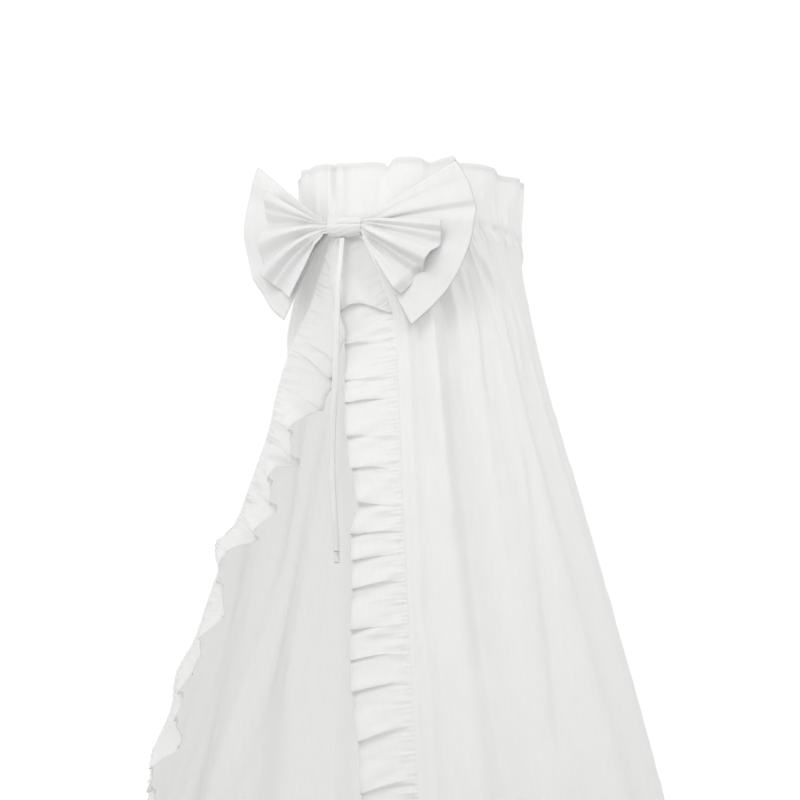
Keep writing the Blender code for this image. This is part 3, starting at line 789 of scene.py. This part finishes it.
ties = {
    "width": 0.0084, "thickness": 0.0009, "hollow": 0.0006, "gap": 0.0006,
    "rows": 241, "columns": 13,
    # a slight curl down the length: its turn and its pitch
    "curl": (0.25, 0.03),
    # the top follows the knot's roll down to here
    "levelBelow": 0.09,
    # share of its length, place across and how far it stands in front of the knot's middle
    "long": {"length": 0.461, "twist": -42.0, "path": [
        (0, -0.003, 0.001), (0.2, 0.005, 0.02), (0.42, 0.0025, 0.021), (0.7, -0.0038, 0.021),
        (1, 0.0055, 0.021),
    ]},
    "short": {"length": 0.446, "twist": 38.0, "path": [
        (0, -0.001, 0.0026), (0.2, 0.0092, 0.028), (0.42, 0.0072, 0.029), (0.7, 0.002, 0.029),
        (1, 0.0105, 0.029),
    ]},
}


def makeTie(name, tie):
    fall = np.linspace(0, 1, ties["rows"])[:, None]
    across = np.linspace(0, 1, ties["columns"])[None, :]
    length = fall * tie["length"]
    x = curveTable(fall, tie["path"], 1)
    y = bow["knotY"] - curveTable(fall, tie["path"], 2)
    curl, pitch = ties["curl"]
    turn = np.radians(tie["twist"]) * np.sin(math.pi * fall) + curl * np.sin(length / pitch) * fall
    offset = ties["width"] * (across - 0.5)
    slope = math.tan(math.radians(knot["roll"]))
    level = (x + offset) * slope * (1 - easeStep(length / ties["levelBelow"]))
    z = knot["lift"] - knot["height"] / 2 - ties["gap"] - length - level
    x = x + offset * np.cos(turn)
    y = y + offset * np.sin(turn) - ties["hollow"] * np.sin(math.pi * across)
    points = np.stack(np.broadcast_arrays(x, y, z), axis=-1)
    flat = np.stack(np.broadcast_arrays(offset, length), axis=-1)
    return doubleCloth(name, points, flat, ties["thickness"], rim=2)


longTie = makeTie("tie-long", ties["long"])
shortTie = makeTie("tie-short", ties["short"])
print("bow, knot and ties made")


# stitches along the seams and hems
stitches = {
    "pitch": 0.0032, "length": 0.0022, "width": 0.00042,
    "uneven": 0.12, "askew": 0.09, "seed": 81,
    "colour": (0.9, 0.9, 0.885),
    # distance from the cloth's edge
    "seamInset": 0.004, "hemInset": 0.0048, "bowInset": 0.005, "bowReach": 0.15,
}


def stitchPlaces(surface, start, end):
    # surface gives a point for a place along the seam and a small step to its side
    s = np.linspace(start, end, 6001)
    points = surface(s, 0.0)
    run = np.concatenate([[0.0], np.cumsum(np.linalg.norm(np.diff(points, axis=0), axis=1))])
    pitch = stitches["pitch"]
    places = np.interp(np.arange(pitch, run[-1] - pitch, pitch), run, s)
    near = abs(end - start) * 1e-4
    middle = surface(places, 0.0)
    along = unit(surface(places + near, 0.0) - surface(places - near, 0.0))
    facing = unit(np.cross(along, surface(places, 0.0006) - middle))
    return middle, along, facing


def stitchTree(thread):
    tree = bpy.data.node_groups.new("row of stitches", "GeometryNodeTree")
    wire, newSocket = wiring(tree), tree.interface.new_socket
    kinds = {"Geometry": "Geometry", "Length": "Float", "Width": "Float", "Uneven": "Float", "Seed": "Int"}
    sockets = {}
    for label, kind in kinds.items():
        sockets[label] = newSocket(label, in_out="INPUT", socket_type="NodeSocket" + kind)
    newSocket("Geometry", in_out="OUTPUT", socket_type="NodeSocketGeometry")
    given = node(tree, "NodeGroupInput")
    result = node(tree, "NodeGroupOutput")
    turns = []
    for label, axis in (("along", "X"), ("facing", "Z")):
        read = node(tree, "GeometryNodeInputNamedAttribute", {"Name": label}, data_type="FLOAT_VECTOR")
        turn = node(tree, "FunctionNodeAlignRotationToVector", axis=axis)
        wire(read, "Attribute", turn, "Vector")
        turns.append(turn)
    turns[1].pivot_axis = "X"
    wire(turns[0], "Rotation", turns[1], "Rotation")
    # each stitch is a little longer or shorter, and a little askew
    low = node(tree, "ShaderNodeMath", {0: 1.0}, operation="SUBTRACT")
    high = node(tree, "ShaderNodeMath", {0: 1.0}, operation="ADD")
    wire(given, "Uneven", low, 1)
    wire(given, "Uneven", high, 1)
    stretch = node(tree, "FunctionNodeRandomValue")
    wire(low, 0, stretch, 2)
    wire(high, 0, stretch, 3)
    wire(given, "Seed", stretch, "Seed")
    ends = {0: (0, 0, -stitches["askew"]), 1: (0, 0, stitches["askew"])}
    askew = node(tree, "FunctionNodeRandomValue", ends, data_type="FLOAT_VECTOR")
    wire(given, "Seed", askew, "Seed")
    asTurn = node(tree, "FunctionNodeEulerToRotation")
    wire(askew, 0, asTurn, 0)
    turned = node(tree, "FunctionNodeRotateRotation", rotation_space="LOCAL")
    wire(turns[1], "Rotation", turned, 0)
    wire(asTurn, 0, turned, 1)
    long = node(tree, "ShaderNodeMath", operation="MULTIPLY")
    wire(given, "Length", long, 0)
    wire(stretch, 1, long, 1)
    sizes = node(tree, "ShaderNodeCombineXYZ")
    wire(long, 0, sizes, "X")
    wire(given, "Width", sizes, "Y")
    wire(given, "Width", sizes, "Z")
    stitch = node(tree, "GeometryNodeMeshIcoSphere", {"Radius": 0.5, "Subdivisions": 1})
    smooth = node(tree, "GeometryNodeSetShadeSmooth")
    wire(stitch, "Mesh", smooth, "Geometry")
    row = node(tree, "GeometryNodeInstanceOnPoints")
    wire(given, "Geometry", row, "Points")
    wire(smooth, "Geometry", row, "Instance")
    wire(turned, 0, row, "Rotation")
    wire(sizes, "Vector", row, "Scale")
    real = node(tree, "GeometryNodeRealizeInstances")
    wire(row, "Instances", real, "Geometry")
    paint = node(tree, "GeometryNodeSetMaterial", {"Material": thread})
    wire(real, "Geometry", paint, "Geometry")
    wire(paint, "Geometry", result, "Geometry")
    return tree, sockets


threadFinish = plainMaterial("sewing thread", stitches["colour"], Roughness=0.6, Sheen_Weight=0.2)
stitchNodes = stitchTree(threadFinish)


def sew(name, rows):
    # rows are the places, ways along and facings of one piece's lines of stitches
    points, along, facing = (np.concatenate([row[k] for row in rows]) for k in range(3))
    mesh = bpy.data.meshes.new(name)
    mesh.vertices.add(len(points))
    mesh.vertices.foreach_set("co", points.ravel())
    for label, values in (("along", along), ("facing", facing)):
        layer = mesh.attributes.new(label, "FLOAT_VECTOR", "POINT")
        layer.data.foreach_set("vector", values.ravel())
    guide = addObject(name + "-guide", mesh)
    tree, sockets = stitchNodes
    modifier = guide.modifiers.new("stitches", "NODES")
    modifier.node_group = tree
    for label in ("Length", "Width", "Uneven", "Seed"):
        modifier[sockets[label].identifier] = stitches[label.lower()]
    bpy.context.view_layer.update()
    graph = bpy.context.evaluated_depsgraph_get()
    finished = bpy.data.meshes.new_from_object(guide.evaluated_get(graph))
    finished.name = name
    made = addObject(name, finished)
    bpy.data.objects.remove(guide)
    return made


def curtainRow(z):
    def surface(s, aside):
        return clothSurface(s, np.full_like(s, z + aside), 0.0)
    return stitchPlaces(surface, 0.004, 0.996)


def seamRow(edge):
    def surface(s, aside):
        radius = clothOutline(np.full_like(s, edge), s)[1]
        inset = (stitches["seamInset"] + aside) / (curtain["wrap"] * radius)
        return clothSurface(np.abs(edge - inset), s, 0.0)
    return stitchPlaces(surface, -0.03, curtain["hem"] + 0.004)


def ruffleHemRow(side):
    def surface(s, aside):
        inset = (stitches["hemInset"] + aside) / ruffles["flatWidth"]
        return rufflePoint(side, s, np.full_like(s, 1 - inset))
    return stitchPlaces(surface, ruffles["top"] - 0.004, curtain["hem"] + 0.004)


def bowRow(wing, sign):
    def surface(s, aside):
        inset = (stitches["bowInset"] + aside) / stitches["bowReach"]
        middle = wingPoint(wing, sign * np.full_like(s, 2 - inset), s)
        middle[:, 1] -= bow["thickness"] / 2
        return middle
    return stitchPlaces(surface, 0.01, 0.99)


sewn = {
    "canopy_cloth": sew("curtain-stitches", [
        curtainRow(curtain["headingTop"] - curtain["headingHemDepth"] + 0.001),
        curtainRow(curtain["hem"] + curtain["hemDepth"] - 0.002), seamRow(0.0), seamRow(1.0),
    ]),
    "ruffle_right": sew("right-ruffle-stitches", [ruffleHemRow(ruffles["right"])]),
    "ruffle_left": sew("left-ruffle-stitches", [ruffleHemRow(ruffles["left"])]),
    "bow_back": sew("bow-back-stitches", [bowRow(bow["back"], 1), bowRow(bow["back"], -1)]),
    "bow_front": sew("bow-front-stitches", [bowRow(bow["front"], 1), bowRow(bow["front"], -1)]),
}
print("stitches sewn", sum(len(piece.data.polygons) for piece in sewn.values()))


# the cotton, in one layer and in two; the colour for two layers is darker, painted shade on the bow and the
# ties
cotton = {
    "colour": (0.835, 0.835, 0.83),
    "letThrough": 0.4,
    # a darker copy of the cotton's colour: painted shade on the bow and the ties
    "doubledPaintedShade": (0.79, 0.79, 0.785),
    "doubledLetThrough": 0.2,
    "roughness": 0.88,
    "specular": 0.25,
    "sheen": 0.2,
    "sheenRoughness": 0.5,
    "thread": 0.00045,
    "weave": 0.5,
    "weaveDepth": 0.00012,
    "creaseDepth": 0.0011,
    # how much darker and lighter the threads are
    "shades": (0.965, 1.02),
}


def cottonMaterial(name, colour, letThrough, wrinkle):
    made = bpy.data.materials.new(name)
    made.use_nodes = True
    tree = made.node_tree
    tree.nodes.clear()
    wire = wiring(tree)
    output = node(tree, "ShaderNodeOutputMaterial")
    shader = node(tree, "ShaderNodeBsdfPrincipled", {
        "Roughness": cotton["roughness"], "Specular IOR Level": cotton["specular"],
        "Sheen Weight": cotton["sheen"], "Sheen Roughness": cotton["sheenRoughness"],
    })
    cloth = node(tree, "ShaderNodeUVMap", uv_map="cloth")
    # two sets of threads
    threads = node(tree, "ShaderNodeMath", operation="MAXIMUM")
    size = math.pi / (10 * cotton["thread"])
    bands = {"Scale": size, "Distortion": 0.6, "Detail": 1.0, "Detail Scale": 0.4}
    for k, direction in enumerate(("X", "Y")):
        wave = node(tree, "ShaderNodeTexWave", bands, wave_type="BANDS", bands_direction=direction)
        wire(cloth, "UV", wave, "Vector")
        wire(wave, "Fac", threads, k)
    # thicker and thinner threads
    stretch = node(tree, "ShaderNodeMapping", {"Scale": (4.0, 0.5, 1.0)})
    wire(cloth, "UV", stretch, "Vector")
    slub = node(tree, "ShaderNodeTexNoise", {"Scale": 55, "Detail": 5, "Roughness": 0.6})
    wire(stretch, "Vector", slub, "Vector")
    tint = node(tree, "ShaderNodeMapRange", {"From Min": 0.3, "From Max": 0.7})
    wire(slub, "Fac", tint, "Value")
    dark, light = cotton["shades"]
    ramp = node(tree, "ShaderNodeMix", data_type="RGBA")
    ramp.inputs["A"].default_value = (*[c * dark for c in colour], 1)
    ramp.inputs["B"].default_value = (*[min(1, c * light) for c in colour], 1)
    wire(tint, "Result", ramp, "Factor")
    wire(ramp, "Result", shader, "Base Color")
    # the weave's and the creases' relief
    crease = node(tree, "ShaderNodeTexNoise", {"Scale": 38, "Detail": 4, "Roughness": 0.55})
    wire(cloth, "UV", crease, "Vector")
    relief = {"Strength": cotton["weave"], "Distance": cotton["weaveDepth"]}
    weaveBump = node(tree, "ShaderNodeBump", relief)
    wire(threads, "Value", weaveBump, "Height")
    relief = {"Strength": wrinkle, "Distance": cotton["creaseDepth"]}
    creaseBump = node(tree, "ShaderNodeBump", relief)
    wire(crease, "Fac", creaseBump, "Height")
    wire(weaveBump, "Normal", creaseBump, "Normal")
    wire(creaseBump, "Normal", shader, "Normal")
    # light that comes through the cloth
    through = node(tree, "ShaderNodeBsdfTranslucent", {"Color": (*colour, 1)})
    wire(creaseBump, "Normal", through, "Normal")
    mix = node(tree, "ShaderNodeMixShader", {"Fac": letThrough})
    wire(shader, "BSDF", mix, 1)
    wire(through, "BSDF", mix, 2)
    wire(mix, "Shader", output, "Surface")
    return made


curtainCotton = cottonMaterial("curtain cotton", cotton["colour"], cotton["letThrough"], wrinkle=0.5)
ruffleCotton = cottonMaterial("ruffle cotton", cotton["colour"], cotton["letThrough"], wrinkle=0.7)
# the bow and the ties take the darker colour, which is painted shade; their smaller let-through is real
bowCotton = cottonMaterial("bow cotton", cotton["doubledPaintedShade"], cotton["doubledLetThrough"], wrinkle=0.35)
tieCotton = cottonMaterial("tie cotton", cotton["doubledPaintedShade"], cotton["doubledLetThrough"], wrinkle=0.3)

# what each piece stands for, what it is made of and the cloth that it was cut from
dressed = [
    (curtainPiece, "canopy_cloth", "canopy_cotton", curtainCotton, (2.3, 1.58), "gathered"),
    (rightRuffle, "ruffle_right", "ruffle_cotton", ruffleCotton, (0.084, 2.15), "gathered"),
    (leftRuffle, "ruffle_left", "ruffle_cotton", ruffleCotton, (0.084, 2.15), "gathered"),
    (backBow, "bow_back", "bow_cotton", bowCotton, (0.37, 0.185), "folded"),
    (frontBow, "bow_front", "bow_cotton", bowCotton, (0.29, 0.115), "folded"),
    (knotPiece, "bow_knot", "bow_cotton", bowCotton, None, None),
    (longTie, "tie_long", "tie_cotton", tieCotton, (0.01, 0.461), "hung"),
    (shortTie, "tie_short", "tie_cotton", tieCotton, (0.01, 0.446), "hung"),
]
for piece, cadNode, slot, finish, flatSize, held in dressed:
    piece.data.materials.append(finish)
    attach(piece, "root")
    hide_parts(cadNode)
    details = [sewn[cadNode]] if cadNode in sewn else []
    for detail in details:
        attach(detail, "root")
print("pieces dressed")


# floor, light and air
studio = {
    "floorHeight": -1.62,
    "floorHalf": 1.7,
    "floorColour": (0.38, 0.38, 0.38),
    "air": 0.8,
    "exposure": 0.35,
    # each lamp's place, aim, width and power
    "lamps": {
        "key": ((0.15, -2.1, 1.25), (0.0, 0, 0.05), 1.3, 12),
        "side": ((2.3, -1.0, 1.2), (0.1, 0, 0.0), 0.8, 9),
        "left": ((-1.7, -2.0, -0.5), (-0.1, -0.15, -0.05), 1.0, 5),
        "behind": ((-1.5, 2.4, -0.6), (-0.25, 0.1, -0.5), 0.5, 19),
    },
}


def areaLight(name, place, aim, size, power):
    data = bpy.data.lights.new(name, "AREA")
    data.energy = power
    data.shape = "DISK"
    data.size = size
    lamp = addObject(name, data)
    lamp.location = place
    lamp.rotation_mode = "QUATERNION"
    lamp.rotation_quaternion = (Vector(aim) - Vector(place)).to_track_quat("-Z", "Y")


def makeStudio():
    mesh = bpy.data.meshes.new("floor")
    half, z = studio["floorHalf"], studio["floorHeight"]
    corners = [(-half, -half, z), (half, -half, z), (half, half, z), (-half, half, z)]
    mesh.from_pydata(corners, [], [(0, 1, 2, 3)])
    mesh.materials.append(plainMaterial("pale floor", studio["floorColour"], Roughness=0.9))
    addObject("floor", mesh)
    world = bpy.data.worlds.new("air")
    world.use_nodes = True
    air = world.node_tree.nodes["Background"]
    air.inputs["Color"].default_value = (1, 1, 1, 1)
    air.inputs["Strength"].default_value = studio["air"]
    scene = bpy.context.scene
    scene.world = world
    for name, lamp in studio["lamps"].items():
        areaLight(name, *lamp)
    scene.view_settings.view_transform = "Standard"
    scene.view_settings.exposure = studio["exposure"]


makeStudio()
print("studio made")
